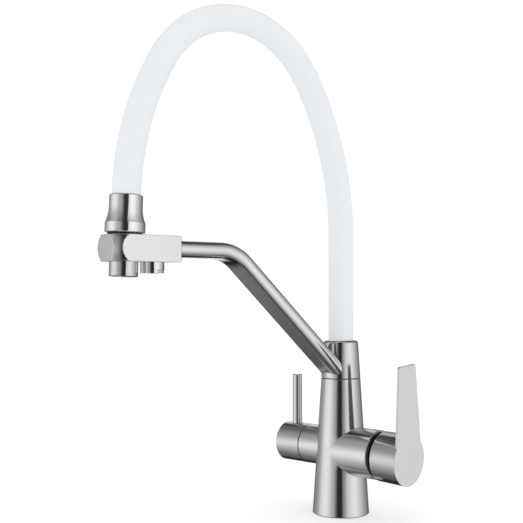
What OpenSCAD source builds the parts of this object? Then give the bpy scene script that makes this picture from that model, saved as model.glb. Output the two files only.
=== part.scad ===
// Kitchen tap: mixer lever, filter-water valve and a pull-out head docked under a white arched hose.
// Millimetres. Z is up from the counter plane, the mixer points to +X and the spout to the front.

/* [Body] */
// Width of the column at the counter
base_d = 50; // [46:0.5:56]
// Width of the column at the swivel line
neck_d = 34.7; // [33:0.1:38]
// Height of the swivel line above the counter
swivel_z = 119.3; // [112:0.1:130]
// Wall of the open base
base_wall = 4; // [3.5:0.1:6]
// Depth of the open base
recess_h = 14; // [10:0.5:18]
// Thickness of the base gasket
gasket_t = 1.9; // [1.5:0.1:3]
// Tapping size of the hot, cold and filter inlets
inlet_d = 9; // [8.5:0.1:9.5]
// Tapping size of the hole for the deck stud
stud_d = 6.8; // [5:0.1:7]

/* [Swivel] */
// Width of the spigot that the collar turns on
spigot_d = 24; // [22:0.1:25]
// Height of the spigot above the swivel line
spigot_h = 20; // [19:0.1:22]
// Open line between the column and the collar
swivel_gap = 0.7; // [0.6:0.05:1.2]
// Height of the straight side of the collar
collar_h = 31; // [28:0.1:34]
// Height of the rounded lip on the collar
lip_h = 2.5; // [1.5:0.1:3]
// Thickness of the O-rings on the spigot
o_ring_t = 1.6; // [1.2:0.1:1.8]
// Running clearance of the collar on the spigot
swivel_fit = 0.1; // [0.05:0.01:0.1]

/* [Spout arm] */
// Turn of the spout away from the square position
spout_turn = 7.6; // [0:0.1:15]
// Distance from the column axis to the head axis
reach = 221.2; // [206:0.1:240]
// Height of the level part of the arm
arm_z = 228.6; // [222:0.1:240]
// Thickness of the flat-oval arm
arm_t = 13; // [11:0.1:14]
// Width of the flat-oval arm
arm_w = 26; // [24:0.1:29.5]
// Rise of the sloping part of the arm in degrees
arm_slope = 41.8; // [38:0.1:44]
// Bend radius of the arm
bend_r = 38; // [30:0.5:46]
// Wall of the arm tube
arm_wall = 1.6; // [1.2:0.1:2]

/* [Dock] */
// Width of the dock block and of the ball across its flats
block_w = 33.2; // [32.6:0.1:36]
// Height of the dock block
block_h = 20; // [17.6:0.1:21]
// Length of the block behind the head axis
block_back = 40; // [38:0.1:44]
// Height of the arm above the middle of the block
dock_drop = 0.5; // [0:0.1:2]
// Diameter of the truncated ball
ball_d = 39.6; // [38.6:0.1:41]
// Distance from the head axis to the flat front of the ball
ball_front = 16; // [15:0.1:16.6]
// Clearance of the head in the dock bore
dock_gap = 0.35; // [0.3:0.01:0.5]
// Distance from the head axis back to the filter outlet
outlet_back = 24.4; // [22:0.1:24.8]
// Width of the filter outlet
outlet_d = 18.4; // [17.6:0.1:19.4]
// Length of the filter outlet below the block
outlet_h = 8.3; // [7:0.1:11]

/* [Head] */
// Width of the head barrel
barrel_d = 21.8; // [21:0.1:22.6]
// Length of the barrel below the block
nozzle_drop = 11.2; // [8:0.1:16]
// Width of the flared collar at its foot
flare_d = 30.3; // [29:0.1:34]
// Width of the flared collar at its top
flare_top_d = 25.2; // [25:0.1:27]
// Height of the flared collar
flare_h = 28.4; // [27:0.1:34]
// Height of the straight band at the foot of the flared collar
flare_band = 7.4; // [5:0.1:9]
// Height of the hollow curve above the band
flare_curve = 12; // [9:0.1:14]
// Lean of the head towards the column in degrees
head_lean = 2.4; // [0:0.1:4]
// Height of the dark ring under the flared collar
head_ring_t = 1.4; // [1.2:0.1:3]

/* [Hose] */
// Outer width of the white hose
hose_d = 21.9; // [21:0.1:22.6]
// Wall of the white hose
hose_wall = 3.5; // [3:0.1:4]
// Height of the top of the arch
hose_top = 428.9; // [415:0.1:445]
// Radius of the arch where it leaves the column
rise_r = 238; // [200:1:260]
// Angle of that first curve
rise_a = 34.7; // [30:0.1:40]
// Angle of the last curve above the head
fall_a = 31.5; // [28:0.1:40]

/* [Mixer] */
// Height of the mixer axis
mixer_z = 55.7; // [52:0.1:60]
// Width of the mixer housing
housing_d = 42.5; // [40:0.1:44]
// Distance of the housing mouth from the column axis
housing_end = 43.5; // [42:0.1:46]
// Open black line between the housing and the lever cap
gap_w = 3.5; // [2.2:0.1:4.2]
// Distance of the lever face from the column axis
lever_face = 73.3; // [72:0.1:78]
// Width of the lever face disc
lever_d = 43.4; // [43:0.1:46]
// Height of the blade tip above the mixer axis
blade_len = 80.3; // [65:0.5:90]
// Width of the blade at its foot
blade_foot_w = 34.4; // [28:0.1:36]
// Width of the blade at its tip
blade_tip_w = 23.3; // [16:0.1:26]
// Thickness of the blade and the face disc
blade_t = 1.8; // [1.6:0.1:3.5]
// Largest outward tilt of the lever in degrees
tilt_max = 20; // [10:1:20]
// Outward tilt of the lever as it stands in degrees
lever_tilt = 1.7; // [0:0.1:5]
// Sideways turn of the lever as it stands in degrees
lever_turn = 4.3; // [-10:0.1:10]
// Clearance of the tilting cap over the housing mouth
tilt_gap = 0.45; // [0.4:0.01:0.6]

/* [Filter valve] */
// Height of the filter valve axis
filter_z = 57.5; // [54:0.1:62]
// Width of the filter housing and knob
filter_d = 35.3; // [34:0.1:37]
// Distance of the filter housing mouth from the column axis
filter_end = 34.9; // [34:0.1:40]
// Length of the filter knob
knob_len = 27; // [24:0.1:30]
// Open line between the filter housing and the knob
knob_gap = 0.9; // [0.4:0.05:1.2]
// Width of the pin lever
pin_d = 8.7; // [7:0.1:10]
// Height of the pin tip above the filter valve axis
pin_len = 62.2; // [45:0.1:75]
// Distance of the pin from the knob mouth
pin_at = 15.7; // [13:0.1:18]

/* [Hidden] */
$fn = 96;
eps = 1;
seat = 0.05;
play = 0.3;
edge = 0.6;
skin = 0.02;
hose_step = 0.1;
key_depth = 1.6;
key_share = 0.55;
base_r = base_d / 2;
neck_r = neck_d / 2;
spigot_r = spigot_d / 2;
spigot_z = swivel_z + spigot_h;
collar_r_in = spigot_r + swivel_fit;
collar_z0 = swivel_z + swivel_gap;
collar_z1 = swivel_z + collar_h;
collar_top = collar_z1 + lip_h;
chamber_h = 1;
web_z0 = spigot_z + chamber_h;
web_t = 5;
web_z1 = web_z0 + web_t;
screw_z = swivel_z + 4.2;
screw_groove_w = 3.6;
screw_groove_r = spigot_r - 1.1;
screw_r = 2.4;
screw_tip_r = screw_r - 0.9;
screw_sink = 0.7;
ring_low_z = swivel_z + 9;
ring_high_z = swivel_z + 17.6;
port_z = swivel_z + 13.3;
port_r = 2.2;
groove_r = spigot_r - o_ring_t;
groove_w = o_ring_t + 0.8;
gasket_r = base_r - 2.2;
gasket_r_in = base_r - base_wall - 1.6;
hot_at = [6, 7.5];
cold_at = [6, -7.5];
filter_at = [-2, 0];
stud_at = [-6, -13];
inlet_depth = 11;
stud_depth = 14;
way_r = 2.6;
feed_r = 2.3;
overrun = 0.7;
feed_drop = 6.6;
mix_rise = 9.6;
mix_r = 3;
riser_at = 4.5;
riser_r = 4;
riser_z = mixer_z + mix_rise - mix_r - overrun;
filter_way_r = 2.3;
filter_feed_r = 2;
lift_at = 7.5;
lift_r = 1.8;
port_way_r = 1.4;
port_groove_w = 3.6;
washer_sink = 0.9;
o_ring_lift = 0.03;
port_groove_z = port_z - 0.4;
lip_bulge = 1.2;

root_z = swivel_z - 1;
corner_r = (arm_z - root_z) / tan(arm_slope);
bend_run = bend_r * tan(arm_slope / 2);
level_r = corner_r + bend_run;
slope_len = corner_r / cos(arm_slope) - bend_run;
arm_insert = 7.4;
root_cut_z = collar_top + 20;
arm_end_r = reach - block_back + arm_insert;

dock_z = arm_z - dock_drop;
block_top = dock_z + block_h / 2;
block_low = dock_z - block_h / 2;
dock_r = barrel_d / 2 + dock_gap;
outlet_r = outlet_d / 2;
outlet_stub_r = outlet_r - 2.1;
outlet_stub_h = 6;
outlet_bore_r = 4;
duct_r = 3;
sink = 0.4;
outlet_low = block_low - outlet_h;
spray_r = outlet_r - 1.5;
spray_t = 4;
spray_hole_r = 1.1;
spray_z = outlet_low + sink;
notch_h = 2.7;
notch_w = 8;
notch_turn = 109;

barrel_r = barrel_d / 2;
nozzle_low = block_low - nozzle_drop;
neck_screw_r = barrel_r - 2.4;
neck_screw_h = 11;
head_ring_r = flare_d / 2 - 2.1;
flare_z = block_top + head_ring_t;
flare_top = flare_z + flare_h;
flare_r = flare_d / 2;
flare_top_r = flare_top_d / 2;
flare_web_z0 = flare_z + neck_screw_h - head_ring_t + 0.6;
flare_web_z1 = flare_web_z0 + 4;
aerator_r = barrel_r - 2.2;
aerator_t = 6;
aerator_z = nozzle_low + 2 * sink;
head_bore_r = 5.4;
jet_r = 0.9;

hose_r = hose_d / 2;
hose_bore_r = hose_r - hose_wall;
tube_r = hose_bore_r - play - 2 * hose_step;
tube_bore_r = tube_r - 2.6;
tail_r = tube_bore_r - seat;
tail_bore_r = tail_r - 1.5;
tail_screw_r = 6;
tail_len = 13;
socket_gap = 0.3;
hose_z0 = web_z1 + socket_gap;
hose_z1 = flare_web_z1 + socket_gap;
fall_z = flare_top + 1.4;
fall_end = [reach - (fall_z - dock_z) * sin(head_lean), dock_z + (fall_z - dock_z) * cos(head_lean)];
sum_r = fall_end[0] - rise_r * (1 - cos(rise_a));
sum_z = hose_top - hose_r - fall_end[1];
fall_in = cos(head_lean) - cos(fall_a);
fall_drop = sin(fall_a) - sin(head_lean);
arch_det = (cos(rise_a) + cos(fall_a)) * fall_drop - fall_in * (1 - sin(fall_a));
arch_r = (sum_r * fall_drop - sum_z * fall_in) / arch_det;
fall_r = (sum_z - arch_r * (1 - sin(fall_a))) / fall_drop;
fall_at = [fall_end[0] - fall_r * cos(head_lean), fall_end[1] - fall_r * sin(head_lean)];
arch_z = hose_top - hose_r - arch_r;
rise_z = arch_z + (arch_r - rise_r) * sin(rise_a);
arch_at = rise_r * (1 - cos(rise_a)) + arch_r * cos(rise_a);

housing_r = housing_d / 2;
housing_wall = 3.75;
cart_r = housing_r - housing_wall;
cavity_r = cart_r + play;
cart_depth = 32.5;
cavity_u = housing_end - cart_depth;
seal_t = 3;
seal_r = 4.4;
seal_bore_r = way_r + 0.4;
mix_seal_r = 4.8;
mix_seal_bore_r = mix_r + 0.2;
cart_u = cavity_u + seal_t;
cart_floor = 3;
disc_u = cart_u + cart_floor;
disc_t = 3;
slide_u = disc_u + disc_t + seat;
slide_t = 3.6;
pocket_r = 2.85;
pocket_floor = 0.8;
cart_wall = 2.3;
cart_bore_r = cart_r - cart_wall;
carrier_u = slide_u + slide_t + play;
carrier_r = cart_bore_r - play;
carrier_len = 12;
shoulder_u = carrier_u + carrier_len;
carrier_neck_len = 7;
neck_u = shoulder_u + carrier_neck_len;
carrier_step = 3.4;
carrier_neck_r = carrier_r - carrier_step;
pivot_depth = 13.5;
pivot_u = housing_end - pivot_depth;
pivot_r = 1.5;
pivot_fit = 0.08;
pivot_press = 0.02;
pivot_len = 2 * carrier_r - 3;
stem_w = 8;
stem_back = 11;
stem_u = lever_face - stem_back;
stem_tail = 4;
stem_low = pivot_u - stem_tail;
foot_r = 2.4;
foot_neck_r = 1.7;
foot_rise = 3.3;
foot_u = slide_u + foot_rise;
foot_arm = pivot_u - foot_u;
slot_w = stem_w + 0.8;
slot_low = stem_w / 2 + (neck_u - pivot_u) * sin(tilt_max) + 0.9;
slot_high = stem_w / 2 + foot_arm * sin(tilt_max) + 0.2;
disc_r = cart_bore_r - 1.6;
slide_r = cart_bore_r - play - foot_arm * tilt_max * PI / 180 - 0.3;
cart_len = 22.5;
nut_u = cart_u + cart_len;
nut_sink = 0.9;
nut_end = housing_end - nut_sink;
nut_r = cavity_r - 0.1;
nut_key_w = 3;
nut_key_h = 2.5;
nut_key_r = cavity_r - 3.2;
gap_ring_r = housing_r - 1.3;
gap_ring_end = housing_end + 1.5;
gap_flange_end = housing_end + 0.5;
gap_bore_r = cavity_r - 3;
rim_u = housing_end + gap_w;
mouth_reach = sqrt(pow(housing_end - pivot_u, 2) + pow(housing_r, 2)) + tilt_gap;
rim_r_in = sqrt(pow(mouth_reach, 2) - pow(rim_u - pivot_u, 2));
rim_r = housing_r + 0.15;
lever_r = lever_d / 2;
face_in = lever_face - blade_t;
cap_back = face_in - 2;
rim_edge = 0.9;
boss_r = 8.4;
boss_u = rim_u + 6.5;
grub_r = 2.5;
lever_grub_u = boss_u + 4;
lever_grub_out = boss_r + 1.4;
blade_foot = lever_r * 0.55;
blade_corner = 0.8;

filter_r = filter_d / 2;
filter_wall = 7.1;
work_r = filter_r - filter_wall;
work_fit = 0.06;
work_u = 5;
washer_t = 2;
work_u0 = work_u + washer_t;
work_flange_r = filter_r - 4.2;
work_flange_t = 4;
work_collar_h = 3;
work_end = filter_end + work_flange_t + work_collar_h;
work_wall = 2.2;
work_bore_r = work_r - work_wall;
work_collar_r = work_r - 2;
work_groove_r = work_r - 1.1;
work_groove_w = 5;
work_port_r = 1.3;
gland_r = 4.6;
spindle_r = 4;
seat_u = work_u0;
seat_t = 3;
turn_t = 3;
turn_u = seat_u + seat_t + seat;
work_groove_u = turn_u + 0.6;
disc_port_at = 3.6;
disc_port_r = 1.9;
drive_w = 3;
drive_h = 1.4;
drive_gap = 0.1;
foot_disc_u = turn_u + turn_t;
foot_disc_t = 4;
knob_u = filter_end + knob_gap;
knob_end = knob_u + knob_len;
knob_wall = 2.6;
knob_floor = 3;
knob_boss_r = 7.6;
boss_gap = 2.2;
knob_boss_u = work_end + boss_gap;
pin_socket_r = knob_boss_r + 0.5;
spindle_short = 2;
spindle_end = knob_end - knob_floor - spindle_short;
spindle_flat = spindle_r - 0.9;
pin_u = knob_u + pin_at;
pin_r = pin_d / 2;
pin_stub_r = pin_r - 1.5;
spindle_ring_u = filter_end - 1;
spindle_ring_t = 1.1;
spindle_groove_r = spindle_r - 0.6;
knob_grub_u = knob_boss_u + 3.6;
knob_grub_r = 2;
knob_grub_out = knob_boss_r + 1;

satin = [0.62, 0.61, 0.59];
bright = [0.85, 0.86, 0.87];
white = [0.93, 0.94, 0.95];
black = [0.06, 0.06, 0.06];
brass = [0.78, 0.62, 0.35];
ceramic = [0.9, 0.88, 0.84];
plastic = [0.75, 0.75, 0.78];

// Radius of the tapered column at a height
function column_r(z) = base_r + (neck_r - base_r) * z / swivel_z;

// Local X is the spout direction
module spout_frame() {
  rotate([0, 0, -90 - spout_turn]) children();
}

// Leaning axis of the head, seen from the spout frame
module head_axis() {
  translate([reach, 0, dock_z]) rotate([0, -head_lean, 0]) translate([0, 0, -dock_z]) children();
}

module head_frame() {
  spout_frame() head_axis() children();
}

// Local Z points out along the mixer axis, local X points down
module mixer_frame() {
  translate([0, 0, mixer_z]) rotate([0, 90, 0]) children();
}

// Mixer frame turned with the cartridge carrier
module carrier_frame() {
  mixer_frame() rotate([0, 0, lever_turn]) children();
}

// Carrier frame tilted with the lever about its pivot
module lever_frame() {
  carrier_frame() translate([0, 0, pivot_u]) rotate([0, lever_tilt, 0]) translate([0, 0, -pivot_u]) children();
}

// Local Z points out along the filter valve axis, local X points up
module filter_frame() {
  translate([0, 0, filter_z]) rotate([0, -90, 0]) children();
}

module rod(r, z0, z1) {
  translate([0, 0, z0]) cylinder(h = z1 - z0, r = r);
}

module pipe(r_out, r_in, z0, z1) {
  difference() {
    rod(r_out, z0, z1);
    rod(r_in, z0 - eps, z1 + eps);
  }
}

// Ring groove cut into a shaft that stands on Z
module groove(r_floor, r_out, z, w) {
  difference() {
    rod(r_out + eps, z - w / 2, z + w / 2);
    rod(r_floor, z - w, z + w);
  }
}

// Flat oval with its thickness along X
module oval(w, t) {
  square([t, w - t], center = true);
  translate([0, (w - t) / 2]) circle(d = t);
  translate([0, (t - w) / 2]) circle(d = t);
}

// Solid flat-oval path of the arm
module arm_path(w, t, past) {
  translate([0, 0, root_z]) rotate([0, 90 - arm_slope, 0])
    linear_extrude(height = slope_len + skin) oval(w, t);
  translate([level_r, 0, arm_z - bend_r]) rotate([90, 0, 0]) rotate([0, 0, 90])
    rotate_extrude(angle = arm_slope) translate([bend_r, 0]) oval(w + 2 * skin, t + 2 * skin);
  translate([level_r - skin, 0, arm_z]) rotate([0, 90, 0])
    linear_extrude(height = arm_end_r - level_r + skin + past) oval(w, t);
}

// One curve of the hose: centre, radius, start angle and sweep
module hose_curve(at, r, a0, sweep, r_out, r_in) {
  translate([at[0], 0, at[1]]) rotate([90, 0, 0]) rotate([0, 0, a0])
    rotate_extrude(angle = sweep) translate([r, 0]) difference() {
      circle(r = r_out);
      circle(r = r_in);
    }
}

// Whole route of the hose from the collar over the arch into the head
module hose_route(r_out, r_in) {
  lap = hose_step / arch_r * 180 / PI;
  wide_r = r_out + hose_step;
  tight_r = r_in - hose_step;
  pipe(r_out, r_in, hose_z0, rise_z + hose_step);
  hose_curve([rise_r, rise_z], rise_r, 180 - rise_a, rise_a, wide_r, tight_r);
  hose_curve([arch_at, arch_z], arch_r, fall_a - lap, 180 - rise_a - fall_a + 2 * lap, r_out, r_in);
  hose_curve(fall_at, fall_r, head_lean, fall_a - head_lean, wide_r, tight_r);
  head_axis() pipe(r_out, r_in, hose_z1, fall_z + hose_step);
}

// Socket screw standing on Z with its key socket at the top
module grub(r, z0, z1) {
  difference() {
    rod(r, z0, z1);
    translate([0, 0, z1 - key_depth]) cylinder(h = key_depth + eps, r = r * key_share, $fn = 6);
  }
}

// Outer taper of the column carried on over the collar, with its rounded lip
module collar_shape() {
  r1 = column_r(collar_z1);
  foot = [[0, collar_z0], [column_r(collar_z0), collar_z0]];
  lip = [for (a = [0:15:90]) [r1 - lip_h * lip_bulge * (1 - cos(a)), collar_z1 + lip_h * sin(a)]];
  rotate_extrude() polygon(concat(foot, lip, [[0, collar_top]]));
}

module body_column() {
  color(satin) difference() {
    union() {
      rotate_extrude() polygon([
        [0, 0], [base_r - edge, 0], [base_r, edge], [neck_r, swivel_z], [0, swivel_z]
      ]);
      rod(spigot_r, swivel_z - eps, spigot_z);
      mixer_frame() {
        rod(housing_r, 0, housing_end - edge);
        translate([0, 0, housing_end - edge]) cylinder(h = edge, r1 = housing_r, r2 = housing_r - edge);
      }
      filter_frame() rod(filter_r, 0, filter_end);
    }
    rod(base_r - base_wall, -eps, recess_h);
    rod(gasket_r, -eps, gasket_t);
    for (p = [hot_at, cold_at, filter_at])
      translate([p[0], p[1], 0]) rod(inlet_d / 2, recess_h - eps, recess_h + inlet_depth);
    translate([stud_at[0], stud_at[1], 0]) rod(stud_d / 2, recess_h - eps, recess_h + stud_depth);
    for (p = [hot_at, cold_at]) {
      translate([p[0], p[1], 0]) rod(way_r, recess_h, mixer_z - feed_drop + way_r + overrun);
      translate([p[0], p[1], mixer_z - feed_drop]) rotate([0, 90, 0])
        rod(feed_r, 0, cavity_u - p[0] + eps);
    }
    translate([filter_at[0], 0, 0]) rod(filter_way_r, recess_h, filter_z + filter_way_r + overrun);
    filter_frame() rod(filter_feed_r, -filter_at[0], work_u + eps);
    mixer_frame() rod(cavity_r, cavity_u, housing_end + eps);
    filter_frame() rod(work_r + work_fit, work_u, filter_end + eps);
    translate([riser_at, 0, 0]) rod(riser_r, riser_z, spigot_z + eps);
    translate([riser_at, 0, mixer_z + mix_rise]) rotate([0, 90, 0])
      rod(mix_r, 0, cavity_u - riser_at + eps);
    translate([-lift_at, 0, 0]) rod(lift_r, filter_z + work_r - eps, port_z);
    translate([-lift_at, 0, port_z - lift_r]) rotate([0, -90, 0]) rod(port_way_r, 0, spigot_r);
    groove(groove_r, spigot_r, ring_low_z, groove_w);
    groove(groove_r, spigot_r, ring_high_z, groove_w);
    groove(groove_r, spigot_r, port_groove_z, port_groove_w);
    groove(screw_groove_r, spigot_r, screw_z, screw_groove_w);
  }
}

module base_gasket() {
  color(black) pipe(gasket_r - seat, gasket_r_in, 0, gasket_t - seat);
}

module swivel_washer() {
  color(black) pipe(column_r(collar_z0) - washer_sink, spigot_r + seat, swivel_z, collar_z0 - seat);
}

module swivel_o_rings() {
  color(black) for (z = [ring_low_z, ring_high_z]) translate([0, 0, z])
    rotate_extrude() translate([groove_r + o_ring_lift + o_ring_t / 2, 0]) circle(d = o_ring_t, $fn = 32);
}

module swivel_collar() {
  color(satin) difference() {
    collar_shape();
    rod(collar_r_in, collar_z0 - eps, web_z0);
    rod(tail_screw_r + seat, web_z0 - eps, web_z1 + eps);
    rod(hose_r + socket_gap, web_z1, collar_top + eps);
    spout_frame() {
      translate([0, 0, port_z]) rotate([0, 90, 0]) rod(port_r, spigot_r - eps, neck_r + eps);
      translate([0, 0, screw_z]) rotate([0, -90, 0]) rod(screw_r + seat, spigot_r - eps, neck_r + eps);
    }
  }
}

module swivel_screw() {
  color(bright) spout_frame() translate([0, 0, screw_z]) rotate([0, -90, 0]) {
    grub(screw_r, collar_r_in + play, column_r(screw_z) - screw_sink);
    rod(screw_tip_r, screw_groove_r + play, collar_r_in + play + seat);
  }
}

module spout_arm() {
  color(satin) spout_frame() difference() {
    arm_path(arm_w, arm_t, 0);
    arm_path(arm_w - 2 * arm_wall, arm_t - 2 * arm_wall, eps);
    rotate_extrude() polygon([[0, 0], [base_r, 0], [column_r(root_cut_z), root_cut_z], [0, root_cut_z]]);
  }
}

module dock_block() {
  color(satin) spout_frame() difference() {
    intersection() {
      union() {
        translate([reach, 0, dock_z]) sphere(d = ball_d);
        translate([reach - block_back, -block_w / 2, block_low]) cube([block_back, block_w, block_h]);
      }
      translate([reach - block_back, -block_w / 2, block_low])
        cube([block_back + ball_front, block_w, block_h]);
    }
    head_axis() rod(dock_r, block_low - 2 * eps, block_top + 2 * eps);
    translate([reach - block_back - eps, 0, arm_z]) rotate([0, 90, 0])
      linear_extrude(height = arm_insert + eps + seat) oval(arm_w + 2 * seat, arm_t + 2 * seat);
    translate([reach - block_back, 0, arm_z]) rotate([0, 90, 0])
      rod(duct_r, arm_insert, block_back - outlet_back);
    translate([reach - outlet_back, 0, 0]) {
      rod(outlet_stub_r + seat, block_low - eps, block_low + outlet_stub_h + sink);
      rod(duct_r, block_low, arm_z);
    }
  }
}

module filter_outlet() {
  color(bright) spout_frame() translate([reach - outlet_back, 0, 0]) difference() {
    union() {
      rod(outlet_r, outlet_low, block_low);
      rod(outlet_stub_r, block_low - eps, block_low + outlet_stub_h);
    }
    rod(outlet_bore_r, outlet_low - eps, block_low + outlet_stub_h + eps);
    rod(spray_r + seat, outlet_low - eps, spray_z + spray_t);
    rotate([0, 0, notch_turn]) translate([-outlet_r - eps, -notch_w / 2, outlet_low - eps])
      cube([2 * (outlet_r + eps), notch_w, notch_h + eps]);
  }
}

module filter_aerator() {
  color(plastic) spout_frame() translate([reach - outlet_back, 0, 0]) difference() {
    rod(spray_r, spray_z, spray_z + spray_t);
    for (a = [0:60:300]) rotate([0, 0, a]) translate([spray_r * 0.6, 0, 0])
      rod(spray_hole_r, outlet_low, outlet_low + 2 * spray_t);
    rod(spray_hole_r, outlet_low, outlet_low + 2 * spray_t);
  }
}

module hose_sleeve() {
  color(white) spout_frame() hose_route(hose_r, hose_bore_r);
}

module water_tube() {
  color(plastic) spout_frame() hose_route(tube_r, tube_bore_r);
}

module collar_tail() {
  color(brass) difference() {
    union() {
      rod(tail_screw_r, web_z0, web_z1);
      rod(tail_r, web_z1 - eps, web_z1 + tail_len);
    }
    rod(tail_bore_r, web_z0 - eps, web_z1 + tail_len + eps);
  }
}

module head_tail() {
  color(brass) head_frame() difference() {
    union() {
      rod(tail_screw_r, flare_web_z0, flare_web_z1);
      rod(tail_r, flare_web_z1 - eps, flare_web_z1 + tail_len);
    }
    rod(tail_bore_r, flare_web_z0 - eps, flare_web_z1 + tail_len + eps);
  }
}

module head_flare() {
  band_z = flare_z + flare_band;
  curve_a = 2 * atan((flare_r - flare_top_r) / flare_curve);
  curve_r = flare_curve / sin(curve_a);
  foot = [[0, flare_z], [flare_r - edge, flare_z], [flare_r, flare_z + edge]];
  bell = [
    for (t = [1:-1 / 12:-0.01])
      [flare_top_r + curve_r * (1 - cos(curve_a * t)), band_z + flare_curve - curve_r * sin(curve_a * t)]
  ];
  top = [[flare_top_r, flare_top - edge], [flare_top_r - edge, flare_top], [0, flare_top]];
  color(satin) head_frame() difference() {
    rotate_extrude() polygon(concat(foot, bell, top));
    rod(neck_screw_r + seat, flare_z - eps, flare_web_z0);
    rod(tail_screw_r + seat, flare_web_z0 - eps, flare_web_z1 + eps);
    rod(hose_r + socket_gap, flare_web_z1, flare_top + eps);
  }
}

module head_ring() {
  color(black) difference() {
    head_frame() pipe(head_ring_r, neck_screw_r + seat, block_top + seat, flare_z);
    spout_frame() translate([reach, 0, 0]) rod(flare_d, block_low, block_top + seat);
  }
}

module head_barrel() {
  color(satin) head_frame() difference() {
    union() {
      translate([0, 0, nozzle_low]) cylinder(h = edge, r1 = barrel_r - edge, r2 = barrel_r);
      rod(barrel_r, nozzle_low + edge, block_top);
      rod(neck_screw_r, block_top - eps, block_top + neck_screw_h);
    }
    rod(head_bore_r, nozzle_low - eps, block_top + neck_screw_h + eps);
    rod(aerator_r + seat, nozzle_low - eps, aerator_z + aerator_t);
  }
}

module head_aerator() {
  color(plastic) head_frame() difference() {
    rod(aerator_r, aerator_z, aerator_z + aerator_t);
    for (a = [0:60:300]) rotate([0, 0, a]) translate([aerator_r * 0.35, 0, 0])
      rod(jet_r, nozzle_low, nozzle_low + 2 * aerator_t);
    for (a = [15:30:345]) rotate([0, 0, a]) translate([aerator_r * 0.72, 0, 0])
      rod(jet_r, nozzle_low, nozzle_low + 2 * aerator_t);
  }
}

module cartridge_seals() {
  color(black) mixer_frame() {
    for (p = [hot_at, cold_at]) translate([feed_drop, p[1], 0]) pipe(seal_r, seal_bore_r, cavity_u, cart_u);
    translate([-mix_rise, 0, 0]) pipe(mix_seal_r, mix_seal_bore_r, cavity_u, cart_u);
  }
}

module cartridge_body() {
  color(plastic) mixer_frame() difference() {
    rod(cart_r, cart_u, nut_u);
    rod(cart_bore_r, disc_u, nut_u + eps);
    for (p = [hot_at, cold_at]) translate([feed_drop, p[1], 0]) rod(way_r, cart_u - eps, disc_u + eps);
    translate([-mix_rise, 0, 0]) rod(mix_r, cart_u - eps, disc_u + eps);
  }
}

module fixed_disc() {
  color(ceramic) mixer_frame() difference() {
    rod(disc_r, disc_u, disc_u + disc_t);
    for (p = [hot_at, cold_at])
      translate([feed_drop, p[1], 0]) rod(way_r, disc_u - eps, disc_u + disc_t + eps);
    translate([-mix_rise, 0, 0]) rod(mix_r, disc_u - eps, disc_u + disc_t + eps);
  }
}

module moving_disc() {
  color(ceramic) carrier_frame() translate([-foot_arm * lever_tilt * PI / 180, 0, 0]) difference() {
    rod(slide_r, slide_u, slide_u + slide_t);
    rod(pocket_r, slide_u + pocket_floor, slide_u + slide_t + eps);
  }
}

module cartridge_carrier() {
  color(plastic) carrier_frame() difference() {
    union() {
      rod(carrier_r, carrier_u, shoulder_u);
      rod(carrier_neck_r, shoulder_u - eps, neck_u);
    }
    translate([-slot_high, -slot_w / 2, carrier_u - eps])
      cube([slot_high + slot_low, slot_w, neck_u - carrier_u + 2 * eps]);
    translate([0, 0, pivot_u]) rotate([90, 0, 0]) rod(pivot_r + pivot_press, -carrier_r, carrier_r);
  }
}

module pivot_pin() {
  color(bright) carrier_frame() translate([0, 0, pivot_u]) rotate([90, 0, 0])
    rod(pivot_r, -pivot_len / 2, pivot_len / 2);
}

module cartridge_stem() {
  color(brass) lever_frame() difference() {
    union() {
      translate([-stem_w / 2, -stem_w / 2, stem_low]) cube([stem_w, stem_w, stem_u - stem_low]);
      rod(foot_neck_r, foot_u, pivot_u);
      translate([0, 0, foot_u]) sphere(r = foot_r);
    }
    translate([0, 0, pivot_u]) rotate([90, 0, 0]) rod(pivot_r + pivot_fit, -stem_w, stem_w);
  }
}

module cartridge_nut() {
  color(brass) mixer_frame() difference() {
    rod(nut_r, nut_u, nut_end);
    rod(carrier_neck_r + play, nut_u - eps, nut_end + eps);
    for (a = [0:90:270]) rotate([0, 0, a]) translate([nut_key_r, -nut_key_w / 2, nut_end - nut_key_h])
      cube([cavity_r, nut_key_w, nut_key_h + eps]);
  }
}

module gap_ring() {
  color(black) mixer_frame() difference() {
    union() {
      rod(gap_ring_r, housing_end, gap_ring_end);
      rod(nut_r, nut_end, gap_flange_end);
    }
    rod(gap_bore_r, nut_end - eps, gap_ring_end + eps);
  }
}

// Flat outline of the lever face: the round disc with the tapering blade above it
module lever_outline() {
  circle(r = lever_r);
  polygon([
    [-blade_foot, -blade_foot_w / 2],
    [-blade_len + blade_corner, -blade_tip_w / 2],
    [-blade_len, -blade_tip_w / 2 + blade_corner],
    [-blade_len, blade_tip_w / 2 - blade_corner],
    [-blade_len + blade_corner, blade_tip_w / 2],
    [-blade_foot, blade_foot_w / 2]
  ]);
}

module mixer_lever() {
  cap_slope = (lever_r - rim_r) / (lever_face - rim_u);
  color(satin) lever_frame() difference() {
    union() {
      rotate_extrude() polygon([
        [rim_r_in, rim_u], [rim_r - rim_edge, rim_u], [rim_r, rim_u + rim_edge],
        [rim_r + cap_slope * (face_in - rim_u), face_in], [0, face_in],
        [0, boss_u], [boss_r, boss_u], [boss_r, cap_back], [rim_r_in, cap_back]
      ]);
      translate([0, 0, face_in]) linear_extrude(height = blade_t) lever_outline();
    }
    translate([-stem_w / 2 - seat, -stem_w / 2 - seat, boss_u - eps])
      cube([stem_w + 2 * seat, stem_w + 2 * seat, stem_u - boss_u + eps + sink]);
    translate([0, 0, lever_grub_u]) rotate([0, 90, 0]) rod(grub_r + seat, 0, lever_r + eps);
  }
}

module lever_grub_screw() {
  color(bright) lever_frame() translate([0, 0, lever_grub_u]) rotate([0, 90, 0])
    grub(grub_r, stem_w / 2 + seat, lever_grub_out);
}

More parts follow.
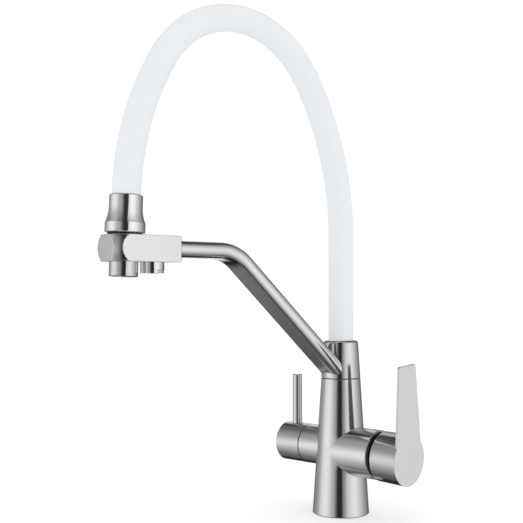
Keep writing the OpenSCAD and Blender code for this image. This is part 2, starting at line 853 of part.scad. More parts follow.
module headwork_washer() {
  color(black) filter_frame() pipe(work_r - play, gland_r, work_u, work_u0);
}

module headwork_body() {
  color(brass) filter_frame() difference() {
    union() {
      rod(work_r, work_u0, filter_end + eps);
      rod(work_flange_r, filter_end, filter_end + work_flange_t);
      rod(work_collar_r, filter_end, work_end);
    }
    rod(work_bore_r, work_u0 - eps, foot_disc_u + foot_disc_t + play);
    groove(work_groove_r, work_r, work_groove_u, work_groove_w);
    rod(gland_r, seat_u, work_end + eps);
    translate([0, 0, turn_u + turn_t / 2]) rotate([0, 90, 0]) rod(work_port_r, 0, work_r + eps);
  }
}

module headwork_fixed_disc() {
  color(ceramic) filter_frame() difference() {
    rod(work_bore_r - seat, seat_u, seat_u + seat_t);
    translate([0, disc_port_at, 0]) rod(disc_port_r, seat_u - eps, seat_u + seat_t + eps);
  }
}

module headwork_turning_disc() {
  color(ceramic) filter_frame() difference() {
    rod(work_bore_r - play, turn_u, turn_u + turn_t);
    translate([0, disc_port_at, 0]) rod(disc_port_r, turn_u - eps, turn_u + turn_t + eps);
    translate([-drive_w / 2 - drive_gap, -work_r, turn_u + turn_t - drive_h - drive_gap])
      cube([drive_w + 2 * drive_gap, 2 * work_r, drive_h + drive_gap + eps]);
  }
}

module headwork_spindle() {
  color(brass) filter_frame() difference() {
    union() {
      rod(work_bore_r - play, foot_disc_u, foot_disc_u + foot_disc_t);
      translate([-drive_w / 2, -work_bore_r * 0.8, foot_disc_u - drive_h])
        cube([drive_w, work_bore_r * 1.6, drive_h + eps]);
      rod(spindle_r, foot_disc_u, spindle_end);
    }
    groove(spindle_groove_r, spindle_r, spindle_ring_u, spindle_ring_t + sink);
    translate([spindle_flat, -spindle_r, knob_boss_u]) cube([spindle_r, 2 * spindle_r, knob_len]);
  }
}

module headwork_o_ring() {
  color(black) filter_frame() translate([0, 0, spindle_ring_u]) rotate_extrude()
    translate([spindle_groove_r + o_ring_lift + spindle_ring_t / 2, 0])
      circle(d = spindle_ring_t, $fn = 32);
}

module filter_knob() {
  color(satin) filter_frame() difference() {
    union() {
      difference() {
        rotate_extrude() polygon([
          [0, knob_u], [filter_r, knob_u], [filter_r, knob_end - edge],
          [filter_r - edge, knob_end], [0, knob_end]
        ]);
        rod(filter_r - knob_wall, knob_u - eps, knob_end - knob_floor);
      }
      rod(knob_boss_r, knob_boss_u, knob_end - eps);
    }
    difference() {
      rod(spindle_r + seat, knob_boss_u - eps, spindle_end + sink);
      translate([spindle_flat + seat, -spindle_r - eps, knob_boss_u - 2 * eps])
        cube([spindle_r, 2 * (spindle_r + eps), knob_len]);
    }
    translate([0, 0, pin_u]) rotate([0, 90, 0]) rod(pin_stub_r + seat, pin_socket_r, filter_r + eps);
    translate([0, 0, knob_grub_u]) rotate([0, -90, 0]) rod(knob_grub_r + seat, 0, filter_r + eps);
  }
}

module pin_lever() {
  color(bright) filter_frame() difference() {
    translate([0, 0, pin_u]) rotate([0, 90, 0]) {
      rod(pin_stub_r, filter_r - knob_wall, filter_r + eps);
      rod(pin_r, filter_r - 2 * eps, pin_len - edge);
      translate([0, 0, pin_len - edge]) cylinder(h = edge, r1 = pin_r, r2 = pin_r - edge);
    }
    difference() {
      rod(filter_r, knob_u, knob_end);
      translate([0, 0, pin_u]) rotate([0, 90, 0]) rod(pin_stub_r, 0, filter_r + eps);
    }
  }
}

module knob_grub_screw() {
  color(bright) filter_frame() translate([0, 0, knob_grub_u]) rotate([0, -90, 0])
    grub(knob_grub_r, spindle_r + seat, knob_grub_out);
}

body_column();
base_gasket();
swivel_washer();
swivel_o_rings();
swivel_collar();
swivel_screw();
spout_arm();
dock_block();
filter_outlet();
filter_aerator();
hose_sleeve();
water_tube();
collar_tail();
head_tail();
head_flare();
head_ring();
head_barrel();
head_aerator();
cartridge_seals();
cartridge_body();
fixed_disc();
moving_disc();
cartridge_carrier();
pivot_pin();
cartridge_stem();
cartridge_nut();
gap_ring();
mixer_lever();
lever_grub_screw();
headwork_washer();
headwork_body();
headwork_fixed_disc();
headwork_turning_disc();
headwork_spindle();
headwork_o_ring();
filter_knob();
pin_lever();
knob_grub_screw();
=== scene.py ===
"""Looks for the kitchen filter tap: studio, camera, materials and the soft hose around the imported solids."""
import math

import bpy
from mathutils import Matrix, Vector


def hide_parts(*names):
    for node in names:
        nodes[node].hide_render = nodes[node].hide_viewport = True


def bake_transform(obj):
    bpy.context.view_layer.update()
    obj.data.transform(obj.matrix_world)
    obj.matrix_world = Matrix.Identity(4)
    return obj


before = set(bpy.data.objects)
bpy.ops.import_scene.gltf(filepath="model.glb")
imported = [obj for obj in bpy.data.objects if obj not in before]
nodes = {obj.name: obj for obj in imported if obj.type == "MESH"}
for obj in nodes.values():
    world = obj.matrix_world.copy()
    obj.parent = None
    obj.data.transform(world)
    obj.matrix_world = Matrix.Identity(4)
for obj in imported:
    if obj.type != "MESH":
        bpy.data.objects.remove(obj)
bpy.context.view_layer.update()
scene = bpy.context.scene
MM = 0.001

# Viewing angle of the photograph and the direction of the spout, in degrees
VIEW_TURN = 43.7
SPOUT_TURN = 7.6

# Camera: place in metres, focal length in pixels of the square picture, and shift of the picture
CAMERA_AT = (0.5329, -0.6599, 0.1955)
FOCAL_PIXELS = 950.0
PICTURE_PIXELS = 523.0
SENSOR_WIDTH = 36.0
SHIFT_X = 0.0002
SHIFT_Y = 0.0587

# Hose and the water tube in it: route in millimetres and degrees in the spout's own plane, and section
REACH = 221.2
DOCK_Z = 228.1
FLARE_TOP = 267.9
HEAD_LEAN = 2.4
HOSE_START = 145.6
HOSE_END = 254.0
HOSE_LEAD = 1.4
HOSE_R = 11.0
HOSE_WALL = 3.5
HOSE_SIDES = 72
TUBE_PLAY = 0.5
TUBE_WALL = 2.5
TUBE_SIDES = 40
HOSE_TOP = 428.9
RISE_R = 238.0
RISE_A = 34.7
FALL_A = 31.5

# Dark board in front of the tap, in metres: its distance, its left and right ends and the length of its soft left
# end, all measured from the column, and its foot and top
FLAG_AWAY = 0.52
FLAG_LEFT = -0.33
FLAG_RIGHT = 0.016
FLAG_SOFT = 0.16
FLAG_FOOT = -0.3
FLAG_TOP = 1.2

# Floor: half its width and the gap under the base, in metres, and the light that it gives of itself
FLOOR_HALF = 6.0
FLOOR_GAP = 0.0002
FLOOR_GLOW = 0.48

# Even light on all that isn't a mirror
EVEN_LIGHT = 1.07

# Brightness of the studio round the tap, in degrees to the right of the camera
PANELS = [
    (-180, 0.90), (-171, 0.70), (-164, 0.10), (-155, 0.12), (-144, 0.32), (-130, 0.37), (-117, 0.47), (-108, 0.62),
    (-96, 0.91), (-82, 1.06), (-66, 1.06), (-56, 0.90), (-47, 0.70), (-39, 0.52), (-28, 0.435), (-10, 0.38),
    (2, 0.22), (11, 0.34), (19, 0.60), (27, 0.77), (45, 0.95), (53, 1.00), (62, 0.97), (73, 0.86), (85, 0.70),
    (97, 0.56), (111, 0.42), (122, 0.34), (141, 0.17), (162, 0.10), (174, 0.30), (180, 0.90),
]
# Brightness of its left and right sides, in degrees above the horizon
LEFT_LEVELS = [
    (-90, 0.05), (-65, 0.24), (-50, 0.38), (-36, 0.50), (-26, 0.66), (-15, 0.88), (-4, 0.97), (5, 0.91),
    (12, 0.74), (20, 0.56), (30, 0.42), (47, 0.36), (58, 0.27), (66, 0.30), (78, 0.85), (90, 0.95),
]
RIGHT_LEVELS = [
    (-90, 0.05), (-65, 0.28), (-50, 0.54), (-40, 0.70), (-29, 0.84), (-18, 0.97), (0, 1.03), (20, 0.96),
    (35, 0.80), (46, 0.55), (52, 0.34), (58, 0.17), (66, 0.25), (78, 0.85), (90, 0.95),
]
# Where the left side's levels pass into the right side's, as the sideways part of the direction
SIDES_FROM = -0.86
SIDES_TO = -0.05
# The low part behind the tap is dark: share of a turn from the camera, upward part of the direction, and depth
BEHIND_FROM = 0.43
BEHIND_TO = 0.46
BELOW_FULL = -0.42
BELOW_NONE = -0.26
BELOW_DEPTH = 0.92

# Masks of the materials, as the cosine of the angle between two normals: where an edge is full and ends, and where a
# face begins and is full
# These masks place the painted light and shade on the metals' edges and faces
EDGE_FULL = 0.86
EDGE_NONE = 0.99
FACE_NONE = 0.93
FACE_FULL = 0.98

# Clouds in the gloss of metal and in the tone of moulded pieces, in features per metre
METAL_CLOUD = 38.0
SKIN_CLOUD = 45.0


def make_camera():
    """Level camera at the photograph's viewing angle."""
    data = bpy.data.cameras.new("camera")
    data.sensor_width = SENSOR_WIDTH
    data.lens = SENSOR_WIDTH * FOCAL_PIXELS / PICTURE_PIXELS
    data.shift_x = SHIFT_X
    data.shift_y = SHIFT_Y
    data.clip_start = 0.05
    data.clip_end = 20.0
    cam = bpy.data.objects.new("camera", data)
    cam.location = CAMERA_AT
    cam.rotation_euler = (math.radians(90.0), 0.0, math.radians(VIEW_TURN))
    scene.collection.objects.link(cam)
    scene.camera = cam


def new_material(name):
    """Material with a principled shader and nothing else."""
    mat = bpy.data.materials.new(name)
    mat.use_nodes = True
    tree = mat.node_tree
    tree.nodes.clear()
    out = tree.nodes.new("ShaderNodeOutputMaterial")
    shader = tree.nodes.new("ShaderNodeBsdfPrincipled")
    tree.links.new(shader.outputs["BSDF"], out.inputs["Surface"])
    return mat, tree, shader


def grain(tree, scale, detail=3.0, rough=0.6):
    """Noise in the piece's own coordinates, stretched by a scale per axis, in features per metre."""
    coord = tree.nodes.new("ShaderNodeTexCoord")
    mapping = tree.nodes.new("ShaderNodeMapping")
    mapping.inputs["Scale"].default_value = scale
    noise = tree.nodes.new("ShaderNodeTexNoise")
    noise.inputs["Scale"].default_value = 1.0
    noise.inputs["Detail"].default_value = detail
    noise.inputs["Roughness"].default_value = rough
    tree.links.new(coord.outputs["Object"], mapping.inputs["Vector"])
    tree.links.new(mapping.outputs["Vector"], noise.inputs["Vector"])
    return noise.outputs["Fac"]


def spread(tree, value, low, high, from_low=0.3, from_high=0.7):
    """Map a range of a value to low and high, held at both ends."""
    node = tree.nodes.new("ShaderNodeMapRange")
    node.inputs["From Min"].default_value = from_low
    node.inputs["From Max"].default_value = from_high
    node.inputs["To Min"].default_value = low
    node.inputs["To Max"].default_value = high
    tree.links.new(value, node.inputs["Value"])
    return node.outputs["Result"]


def two_tones(tree, value, dark, light):
    """Colour from dark to light over the middle of a noise value."""
    ramp = tree.nodes.new("ShaderNodeValToRGB")
    ramp.color_ramp.elements[0].position = 0.3
    ramp.color_ramp.elements[0].color = (*dark, 1.0)
    ramp.color_ramp.elements[1].position = 0.7
    ramp.color_ramp.elements[1].color = (*light, 1.0)
    tree.links.new(value, ramp.inputs["Fac"])
    return ramp.outputs["Color"]


def bump(tree, height, distance, strength, normal=None):
    """Normal with a fine relief, on top of another normal where one is given."""
    node = tree.nodes.new("ShaderNodeBump")
    node.inputs["Strength"].default_value = strength
    node.inputs["Distance"].default_value = distance
    tree.links.new(height, node.inputs["Height"])
    if normal is not None:
        tree.links.new(normal, node.inputs["Normal"])
    return node.outputs["Normal"]


def edge_parts(tree, radius):
    """Rounded normal of the edges, and a mask that is 1 on them."""
    bevel = tree.nodes.new("ShaderNodeBevel")
    bevel.samples = 4
    bevel.inputs["Radius"].default_value = radius
    geometry = tree.nodes.new("ShaderNodeNewGeometry")
    dot = tree.nodes.new("ShaderNodeVectorMath")
    dot.operation = "DOT_PRODUCT"
    tree.links.new(bevel.outputs["Normal"], dot.inputs[0])
    tree.links.new(geometry.outputs["Normal"], dot.inputs[1])
    return bevel.outputs["Normal"], spread(tree, dot.outputs["Value"], 1.0, 0.0, EDGE_FULL, EDGE_NONE)


def blend_colour(tree, factor, colour, other):
    """Mix a colour socket with a fixed colour by a factor socket."""
    mix = tree.nodes.new("ShaderNodeMix")
    mix.data_type = "RGBA"
    tree.links.new(factor, mix.inputs["Factor"])
    tree.links.new(colour, mix.inputs[6])
    mix.inputs[7].default_value = (*other, 1.0)
    return mix.outputs[2]


def facing(tree, direction):
    """Mask that is 1 where the piece's own surface looks along a direction."""
    coord = tree.nodes.new("ShaderNodeTexCoord")
    dot = tree.nodes.new("ShaderNodeVectorMath")
    dot.operation = "DOT_PRODUCT"
    dot.inputs[1].default_value = direction
    tree.links.new(coord.outputs["Normal"], dot.inputs[0])
    return spread(tree, dot.outputs["Value"], 0.0, 1.0, FACE_NONE, FACE_FULL)


def metal(name, dark, light, rough, lines, line_depth, edge_r, edge_painted_light_and_shade,
          face=None, face_painted_light=None, face_metal=1.0, back_painted_shade=None):
    """Brushed or polished metal: fine tool lines, cloudy gloss, and edges in a painted tone: a painted highlight
    where it is lighter, painted shade where it is darker.

    A flat face that looks along `face` can take a painted tone and a matt share of its own, set to how light falls
    on it, and the face opposite to it a darker tone, which is painted shade.
    """
    mat, tree, shader = new_material(name)
    shader.inputs["Metallic"].default_value = 1.0
    rounded, edge = edge_parts(tree, edge_r)
    fine = grain(tree, lines, 3.0, 0.65)
    cloud = grain(tree, [METAL_CLOUD] * 3, 4.0, 0.55)
    colour = two_tones(tree, fine, dark, light)
    # Painted light on the face along `face`, painted shade on the face opposite to it
    if face is not None:
        mask = facing(tree, face)
        colour = blend_colour(tree, mask, colour, face_painted_light)
        if back_painted_shade is not None:
            back = facing(tree, [-part for part in face])
            colour = blend_colour(tree, back, colour, back_painted_shade)
            both = tree.nodes.new("ShaderNodeMath")
            both.operation = "ADD"
            tree.links.new(mask, both.inputs[0])
            tree.links.new(back, both.inputs[1])
            mask = both.outputs["Value"]
        tree.links.new(spread(tree, mask, 1.0, face_metal, 0.0, 1.0), shader.inputs["Metallic"])
    # Edges take a painted tone: a painted highlight where it is lighter than the metal, painted shade where it is
    # darker
    tree.links.new(blend_colour(tree, edge, colour, edge_painted_light_and_shade), shader.inputs["Base Color"])
    gloss = tree.nodes.new("ShaderNodeMath")
    gloss.operation = "ADD"
    tree.links.new(spread(tree, cloud, rough * 0.9, rough * 1.1), gloss.inputs[0])
    tree.links.new(spread(tree, fine, -rough * 0.15, rough * 0.15), gloss.inputs[1])
    tree.links.new(gloss.outputs["Value"], shader.inputs["Roughness"])
    tree.links.new(bump(tree, fine, line_depth, 0.5, rounded), shader.inputs["Normal"])
    return mat


def moulded(name, dark, light, rough, scale, depth, sheen=0.0, level=0.5, painted_emission=None):
    """Rubber, plastic or ceramic with a fine skin; an emission colour, where given, is painted light that keeps a
    pale wall evenly bright.
    """
    mat, tree, shader = new_material(name)
    shader.inputs["Specular IOR Level"].default_value = level
    if painted_emission is not None:
        shader.inputs["Emission Color"].default_value = (*painted_emission, 1.0)
        shader.inputs["Emission Strength"].default_value = 1.0
    if sheen:
        shader.inputs["Sheen Weight"].default_value = sheen
        shader.inputs["Sheen Roughness"].default_value = 0.5
    fine = grain(tree, [scale] * 3, 4.0, 0.6)
    cloud = grain(tree, [SKIN_CLOUD] * 3, 3.0, 0.5)
    tree.links.new(two_tones(tree, cloud, dark, light), shader.inputs["Base Color"])
    tree.links.new(spread(tree, fine, rough * 0.88, rough * 1.12), shader.inputs["Roughness"])
    tree.links.new(bump(tree, fine, depth, 0.4), shader.inputs["Normal"])
    return mat


# Tool lines per metre across the brushing, across the coarser grinding of flat faces, and along both
FINE = 9000.0
GROUND = 2600.0
LONG = 90.0
# Tones of the body's satin metal; its edges are painted lighter, as a highlight
SATIN = dict(dark=(0.705, 0.705, 0.70), light=(0.765, 0.765, 0.76), edge_painted_light_and_shade=(0.84, 0.84, 0.835))
satin_body = metal("satin_body", rough=0.12, lines=(LONG, LONG, FINE), line_depth=4e-6, edge_r=0.0011, **SATIN)
satin_turned = metal("satin_turned", rough=0.12, lines=(LONG, LONG, FINE), line_depth=4e-6, edge_r=0.0004, **SATIN)
# The block is the satin metal painted lighter, as painted light; its -X face is painted light too: half matt in a
# tone of its own, so that the even light lifts it
satin_block_painted_light = metal("satin_block_painted_light", rough=0.14, lines=(GROUND, GROUND, LONG), line_depth=3e-6, edge_r=0.0010,
                    dark=(0.83, 0.83, 0.825), light=(0.89, 0.89, 0.885), edge_painted_light_and_shade=(0.93, 0.93, 0.925),
                    face=(-1.0, 0.0, 0.0), face_painted_light=(0.62, 0.62, 0.615), face_metal=0.5)
# The head is the satin metal painted lighter, as painted light
satin_head_painted_light = metal("satin_head_painted_light", rough=0.12, lines=(LONG, LONG, FINE), line_depth=4e-6, edge_r=0.0004,
                   dark=(0.885, 0.885, 0.88), light=(0.945, 0.945, 0.94), edge_painted_light_and_shade=(0.95, 0.95, 0.945))
# The knob is the satin metal painted darker, as painted shade; its -X end face is painted light: half matt in a tone
# of its own, so that the even light lifts it
satin_side_painted_light_and_shade = metal("satin_side_painted_light_and_shade", rough=0.12, lines=(FINE, LONG, LONG), line_depth=4e-6, edge_r=0.0004,
                   dark=(0.65, 0.65, 0.645), light=(0.71, 0.71, 0.705), edge_painted_light_and_shade=(0.80, 0.80, 0.795),
                   face=(-1.0, 0.0, 0.0), face_painted_light=(0.55, 0.55, 0.545), face_metal=0.5)
# The lever is the satin metal painted darker, with dark edges, as painted shade; its outer face is painted light in
# a lighter half-matt tone, and the back of its blade painted shade in a darker tone
satin_lever_painted_light_and_shade = metal("satin_lever_painted_light_and_shade", rough=0.12, lines=(FINE, LONG, LONG), line_depth=4e-6, edge_r=0.0006,
                    dark=(0.57, 0.57, 0.565), light=(0.63, 0.63, 0.625), edge_painted_light_and_shade=(0.42, 0.42, 0.42),
                    face=(1.0, 0.0, 0.0), face_painted_light=(0.82, 0.82, 0.82), face_metal=0.5,
                    back_painted_shade=(0.17, 0.17, 0.17))
# The arm is the satin metal painted lighter, as painted light; its ground tool lines are its own
satin_flat_painted_light = metal("satin_flat_painted_light", rough=0.12, lines=(GROUND, GROUND, LONG), line_depth=3e-6, edge_r=0.0004,
                   dark=(0.81, 0.81, 0.805), light=(0.87, 0.87, 0.865), edge_painted_light_and_shade=(0.90, 0.90, 0.895))
chrome = metal("chrome", dark=(0.86, 0.865, 0.87), light=(0.90, 0.905, 0.91), rough=0.04,
               lines=(600.0, 600.0, 600.0), line_depth=1e-6, edge_r=0.0003, edge_painted_light_and_shade=(0.93, 0.93, 0.93))
# The pin is chrome painted darker, as painted shade
chrome_pin_painted_shade = metal("chrome_pin_painted_shade", dark=(0.70, 0.705, 0.71), light=(0.74, 0.745, 0.75), rough=0.02,
                   lines=(600.0, 600.0, 600.0), line_depth=1e-6, edge_r=0.0003, edge_painted_light_and_shade=(0.80, 0.80, 0.80))
steel = metal("steel", dark=(0.50, 0.50, 0.50), light=(0.60, 0.60, 0.60), rough=0.3,
              lines=(1500.0, 1500.0, 1500.0), line_depth=4e-6, edge_r=0.0002, edge_painted_light_and_shade=(0.75, 0.75, 0.75))
brass = metal("brass", dark=(0.72, 0.52, 0.24), light=(0.80, 0.61, 0.31), rough=0.28,
              lines=(LONG, LONG, 5000.0), line_depth=5e-6, edge_r=0.0003, edge_painted_light_and_shade=(0.88, 0.72, 0.42))
# The hose's skin is painted light: an emission colour keeps it evenly bright, though it is no lamp
white_skin_painted_emission = moulded("white_skin_painted_emission", (0.42, 0.437, 0.452), (0.43, 0.447, 0.462), 0.5, 2200.0, 4e-6, level=0.2,
                     painted_emission=(0.37, 0.383, 0.394))
black_rubber = moulded("black_rubber", (0.010, 0.010, 0.011), (0.018, 0.018, 0.019), 0.6, 1800.0, 1e-5, sheen=0.1)
black_plastic = moulded("black_plastic", (0.006, 0.006, 0.007), (0.012, 0.012, 0.013), 0.5, 1500.0, 6e-6)
pale_plastic = moulded("pale_plastic", (0.56, 0.57, 0.59), (0.62, 0.63, 0.65), 0.45, 1500.0, 6e-6)
ceramic = moulded("ceramic", (0.84, 0.82, 0.77), (0.88, 0.86, 0.82), 0.18, 3000.0, 2e-6)

LOOKS = {
    "body_column": satin_body, "swivel_collar": satin_turned, "head_flare": satin_head_painted_light,
    "head_barrel": satin_turned, "mixer_lever": satin_lever_painted_light_and_shade, "filter_knob": satin_side_painted_light_and_shade,
    "spout_arm": satin_flat_painted_light, "dock_block": satin_block_painted_light,
    "filter_outlet": chrome, "pin_lever": chrome_pin_painted_shade,
    "swivel_screw": steel, "pivot_pin": steel, "lever_grub_screw": steel, "knob_grub_screw": steel,
    "base_gasket": black_rubber, "swivel_o_rings": black_rubber, "cartridge_seals": black_rubber,
    "headwork_washer": black_rubber, "headwork_o_ring": black_rubber,
    "swivel_washer": black_plastic, "head_ring": black_plastic, "gap_ring": black_plastic,
    "filter_aerator": pale_plastic, "head_aerator": pale_plastic,
    "cartridge_body": pale_plastic, "cartridge_carrier": pale_plastic,
    "collar_tail": brass, "head_tail": brass, "cartridge_stem": brass, "cartridge_nut": brass,
    "headwork_body": brass, "headwork_spindle": brass,
    "fixed_disc": ceramic, "moving_disc": ceramic,
    "headwork_fixed_disc": ceramic, "headwork_turning_disc": ceramic,
    "hose_sleeve": white_skin_painted_emission, "water_tube": pale_plastic,
}
for name, mat in LOOKS.items():
    nodes[name].data.materials.clear()
    nodes[name].data.materials.append(mat)


def spout_point(along, z):
    """Point of the spout's plane in metres, from millimetres along the spout and up."""
    a = math.radians(-90.0 - SPOUT_TURN)
    return Vector((along * math.cos(a), along * math.sin(a), z)) * MM


def head_point(z):
    """Point of the leaning head axis, in the spout's plane."""
    lean = math.radians(HEAD_LEAN)
    return REACH - (z - DOCK_Z) * math.sin(lean), DOCK_Z + (z - DOCK_Z) * math.cos(lean)


def hose_line():
    """Centre line of the hose: up from the collar, over the arch and down into the head."""
    rise, fall, lean = math.radians(RISE_A), math.radians(FALL_A), math.radians(HEAD_LEAN)
    end_x, end_z = head_point(FLARE_TOP + HOSE_LEAD)
    across = end_x - RISE_R * (1 - math.cos(rise))
    up = HOSE_TOP - HOSE_R - end_z
    fall_in = math.cos(lean) - math.cos(fall)
    fall_drop = math.sin(fall) - math.sin(lean)
    det = (math.cos(rise) + math.cos(fall)) * fall_drop - fall_in * (1 - math.sin(fall))
    arch_r = (across * fall_drop - up * fall_in) / det
    fall_r = (up - arch_r * (1 - math.sin(fall))) / fall_drop
    arch_z = HOSE_TOP - HOSE_R - arch_r
    rise_z = arch_z + (arch_r - RISE_R) * math.sin(rise)
    arch_x = RISE_R * (1 - math.cos(rise)) + arch_r * math.cos(rise)
    line = []

    def straight(start, end, steps):
        for k in range(steps):
            line.append(tuple(p + (q - p) * k / steps for p, q in zip(start, end)))

    def curve(cx, cz, r, a0, a1, steps):
        for k in range(steps):
            a = a0 + (a1 - a0) * k / steps
            line.append((cx + r * math.cos(a), cz + r * math.sin(a)))

    straight((0.0, HOSE_START), (0.0, rise_z), steps=24)
    curve(RISE_R, rise_z, RISE_R, math.pi, math.pi - rise, steps=44)
    curve(arch_x, arch_z, arch_r, math.pi - rise, fall, steps=60)
    curve(end_x - fall_r * math.cos(lean), end_z - fall_r * math.sin(lean), fall_r, fall, lean, steps=44)
    straight((end_x, end_z), head_point(HOSE_END), steps=12)
    line.append(head_point(HOSE_END))
    return line


def tube(name, line, r_out, r_in, sides, mat):
    """Hollow tube round a line in the spout's plane, closed at both ends."""
    across = math.radians(-SPOUT_TURN)
    side_dir = Vector((math.cos(across), math.sin(across), 0.0))
    verts, faces = [], []
    last = len(line) - 1
    for k, (x, z) in enumerate(line):
        x0, z0 = line[max(k - 1, 0)]
        x1, z1 = line[min(k + 1, last)]
        tangent = (spout_point(x1, z1) - spout_point(x0, z0)).normalized()
        normal = side_dir.cross(tangent).normalized()
        centre = spout_point(x, z)
        for r in (r_out, r_in):
            for i in range(sides):
                a = 2 * math.pi * i / sides
                verts.append(centre + (side_dir * math.cos(a) + normal * math.sin(a)) * r * MM)
    ring = 2 * sides
    for k in range(last):
        for i in range(sides):
            j = (i + 1) % sides
            a, b = k * ring, (k + 1) * ring
            faces.append((a + i, a + j, b + j, b + i))
            faces.append((a + sides + j, a + sides + i, b + sides + i, b + sides + j))
    end = last * ring
    for i in range(sides):
        j = (i + 1) % sides
        faces.append((j, i, sides + i, sides + j))
        faces.append((end + i, end + j, end + sides + j, end + sides + i))
    mesh = bpy.data.meshes.new(name)
    mesh.from_pydata(verts, [], faces)
    mesh.validate()
    mesh.update()
    for polygon in mesh.polygons:
        polygon.use_smooth = True
    mesh.materials.append(mat)
    obj = bpy.data.objects.new(name, mesh)
    scene.collection.objects.link(obj)
    return obj


def make_hose():
    """White hose and the water tube in it, along the arch from the collar down into the head."""
    line = hose_line()
    bore_r = HOSE_R - HOSE_WALL
    tube_r = bore_r - TUBE_PLAY
    skin = tube("hose", line, HOSE_R, bore_r, HOSE_SIDES, white_skin_painted_emission)
    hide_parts("hose_sleeve")
    inner = tube("hose_core", line, tube_r, tube_r - TUBE_WALL, TUBE_SIDES, pale_plastic)
    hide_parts("water_tube")
    for piece in (skin, inner):
        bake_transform(piece)
    # The metal in the photograph mirrors no hose, so the hose and what it hides stay out of the reflections
    for piece in (skin, inner, nodes["collar_tail"], nodes["head_tail"]):
        piece.visible_glossy = False


def make_floor():
    """Plain pale floor that the metal doesn't mirror."""
    mesh = bpy.data.meshes.new("floor")
    half = FLOOR_HALF
    mesh.from_pydata([(-half, -half, 0), (half, -half, 0), (half, half, 0), (-half, half, 0)], [], [(0, 1, 2, 3)])
    floor = bpy.data.objects.new("floor", mesh)
    floor.location.z = -FLOOR_GAP
    scene.collection.objects.link(floor)
    mat, tree, shader = new_material("floor_paint")
    shader.inputs["Roughness"].default_value = 0.9
    shader.inputs["Specular IOR Level"].default_value = 0.1
    tree.links.new(two_tones(tree, grain(tree, (3.0, 3.0, 3.0)), (0.55, 0.55, 0.55), (0.56, 0.56, 0.56)),
                   shader.inputs["Base Color"])
    shader.inputs["Emission Color"].default_value = (1.0, 1.0, 1.0, 1.0)
    shader.inputs["Emission Strength"].default_value = FLOOR_GLOW
    mesh.materials.append(mat)
    floor.visible_glossy = False


def make_flag():
    """Dark upright board in front of the tap, seen only by the metal: its mirror image is the dark stripe."""
    turn = math.radians(VIEW_TURN)
    front = Vector((math.sin(turn), -math.cos(turn), 0.0))
    right = Vector((math.cos(turn), math.sin(turn), 0.0))
    left_end, right_end = right * FLAG_LEFT, right * FLAG_RIGHT
    low, high = Vector((0.0, 0.0, FLAG_FOOT)), Vector((0.0, 0.0, FLAG_TOP))
    corners = ((left_end, low), (right_end, low), (right_end, high), (left_end, high))
    mesh = bpy.data.meshes.new("flag")
    mesh.from_pydata([front * FLAG_AWAY + side + level for side, level in corners], [], [(0, 1, 2, 3)])
    flag = bpy.data.objects.new("flag", mesh)
    scene.collection.objects.link(flag)
    mat = bpy.data.materials.new("flag_cloth")
    mat.use_nodes = True
    tree = mat.node_tree
    tree.nodes.clear()
    out = tree.nodes.new("ShaderNodeOutputMaterial")
    coord = tree.nodes.new("ShaderNodeTexCoord")
    across = tree.nodes.new("ShaderNodeVectorMath")
    across.operation = "DOT_PRODUCT"
    across.inputs[1].default_value = right
    tree.links.new(coord.outputs["Object"], across.inputs[0])
    cloth = tree.nodes.new("ShaderNodeEmission")
    cloth.inputs["Color"].default_value = (0.02, 0.02, 0.02, 1.0)
    gauze = tree.nodes.new("ShaderNodeBsdfTransparent")
    mix = tree.nodes.new("ShaderNodeMixShader")
    solid = spread(tree, across.outputs["Value"], 0.0, 1.0, FLAG_LEFT, FLAG_LEFT + FLAG_SOFT)
    tree.links.new(solid, mix.inputs["Fac"])
    tree.links.new(gauze.outputs["BSDF"], mix.inputs[1])
    tree.links.new(cloth.outputs["Emission"], mix.inputs[2])
    tree.links.new(mix.outputs["Shader"], out.inputs["Surface"])
    mesh.materials.append(mat)
    flag.visible_camera = False
    flag.visible_diffuse = False
    flag.visible_transmission = False
    flag.visible_shadow = False


def ramp_node(tree, stops):
    """Ramp of grey levels from (place, level) pairs."""
    node = tree.nodes.new("ShaderNodeValToRGB")
    ramp = node.color_ramp
    ramp.interpolation = "LINEAR"
    while len(ramp.elements) > 1:
        ramp.elements.remove(ramp.elements[-1])
    for k, (place, level) in enumerate(stops):
        element = ramp.elements[0] if k == 0 else ramp.elements.new(place)
        element.position = place
        element.color = (level, level, level, 1.0)
    return node


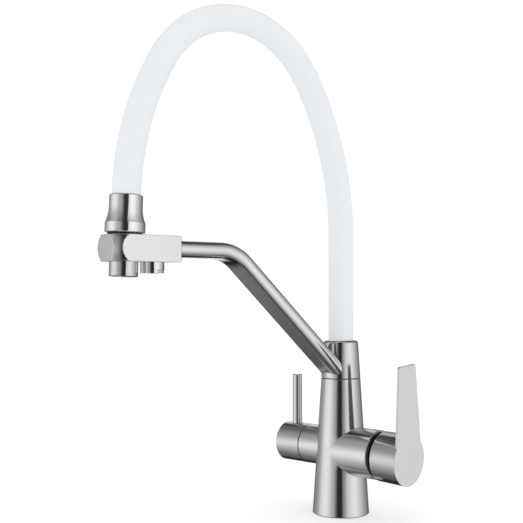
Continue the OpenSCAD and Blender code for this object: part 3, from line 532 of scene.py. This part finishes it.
def make_light():
    """White studio: even light on matt surfaces, and soft panels with dark gaps for the metal to mirror."""
    world = bpy.data.worlds.new("studio")
    scene.world = world
    world.use_nodes = True
    tree = world.node_tree
    tree.nodes.clear()
    out = tree.nodes.new("ShaderNodeOutputWorld")
    coord = tree.nodes.new("ShaderNodeTexCoord")
    turn = math.radians(VIEW_TURN)

    def along(vector):
        dot = tree.nodes.new("ShaderNodeVectorMath")
        dot.operation = "DOT_PRODUCT"
        dot.inputs[1].default_value = vector
        tree.links.new(coord.outputs["Generated"], dot.inputs[0])
        return dot.outputs["Value"]

    def maths(kind, *values):
        node = tree.nodes.new("ShaderNodeMath")
        node.operation = kind
        for socket, value in zip(node.inputs, values):
            if isinstance(value, float):
                socket.default_value = value
            else:
                tree.links.new(value, socket)
        return node.outputs["Value"]

    front = along((math.sin(turn), -math.cos(turn), 0.0))
    right = along((math.cos(turn), math.sin(turn), 0.0))
    height = along((0.0, 0.0, 1.0))
    around = maths("MULTIPLY_ADD", maths("ARCTAN2", right, front), 0.5 / math.pi, 0.5)
    up = maths("MULTIPLY_ADD", maths("ARCSINE", height), 1.0 / math.pi, 0.5)
    panels = ramp_node(tree, [((deg + 180.0) / 360.0, level) for deg, level in PANELS])
    tree.links.new(around, panels.inputs["Fac"])
    sides = tree.nodes.new("ShaderNodeMix")
    tree.links.new(spread(tree, right, 0.0, 1.0, SIDES_FROM, SIDES_TO), sides.inputs["Factor"])
    for socket, stops in (("A", LEFT_LEVELS), ("B", RIGHT_LEVELS)):
        levels = ramp_node(tree, [((deg + 90.0) / 180.0, level) for deg, level in stops])
        tree.links.new(up, levels.inputs["Fac"])
        tree.links.new(levels.outputs["Color"], sides.inputs[socket])
    aside = maths("ABSOLUTE", maths("SUBTRACT", around, 0.5))
    behind = spread(tree, aside, 0.0, 1.0, BEHIND_FROM, BEHIND_TO)
    below = spread(tree, height, 1.0, 0.0, BELOW_FULL, BELOW_NONE)
    shade = maths("MULTIPLY_ADD", maths("MULTIPLY", behind, below), -BELOW_DEPTH, 1.0)
    lit = maths("MULTIPLY", panels.outputs["Color"], sides.outputs["Result"])
    mirrored = tree.nodes.new("ShaderNodeBackground")
    tree.links.new(maths("MULTIPLY", lit, shade), mirrored.inputs["Color"])
    mirrored.inputs["Strength"].default_value = 1.0
    even = tree.nodes.new("ShaderNodeBackground")
    even.inputs["Color"].default_value = (1.0, 1.0, 1.0, 1.0)
    even.inputs["Strength"].default_value = EVEN_LIGHT
    path = tree.nodes.new("ShaderNodeLightPath")
    mix = tree.nodes.new("ShaderNodeMixShader")
    tree.links.new(path.outputs["Is Glossy Ray"], mix.inputs["Fac"])
    tree.links.new(even.outputs["Background"], mix.inputs[1])
    tree.links.new(mirrored.outputs["Background"], mix.inputs[2])
    tree.links.new(mix.outputs["Shader"], out.inputs["Surface"])


make_camera()
make_hose()
make_floor()
make_flag()
make_light()
scene.view_settings.view_transform = "Standard"
scene.view_settings.look = "None"
